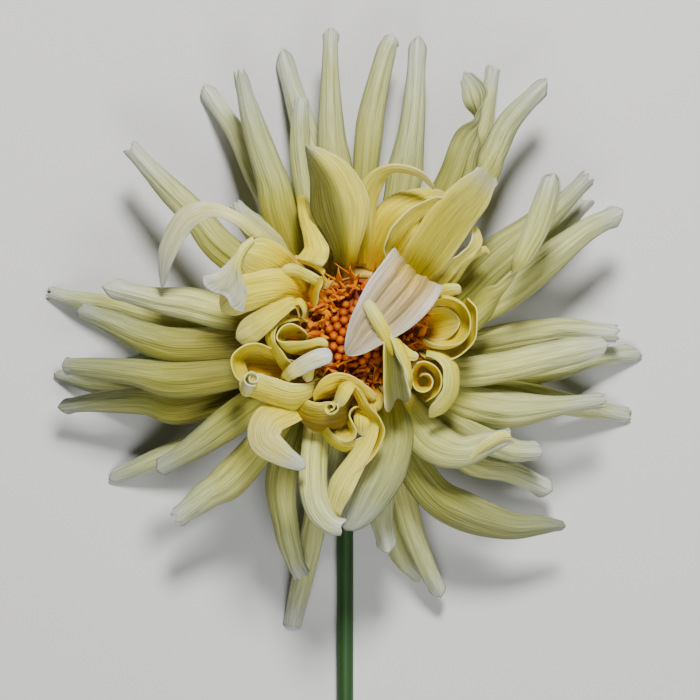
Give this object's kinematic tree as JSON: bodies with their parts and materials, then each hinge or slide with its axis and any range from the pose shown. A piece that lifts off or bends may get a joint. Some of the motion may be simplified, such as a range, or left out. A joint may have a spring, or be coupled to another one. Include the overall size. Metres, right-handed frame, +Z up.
{
  "type": "dahlia flower",
  "caption": "Cut cactus dahlia bloom lying face up on its stem: layered quilled rays, curled inner petals round an orange disc, green bracts behind.",
  "frame": {"origin": "middle of the whole flower's footprint, on the surface that it lies on", "axes": "+Z up out of the bloom's face, +Y from the stem's cut end towards the bloom, +X to the bloom's right"},
  "size_m": [0.1516, 0.2022, 0.0509],
  "materials": {
    "petal": "soft satin living petal, cream going golden towards the disc",
    "floret": "matt deep orange buds and open florets",
    "bract": "matt fleshy green",
    "stem": "smooth satin dark green, finely streaked along its length"
  },
  "bodies": {
    "root": {"ray_petals": "petal", "disc_florets": "floret", "involucre": "bract", "stem": "stem"}
  },
  "joints": []
}
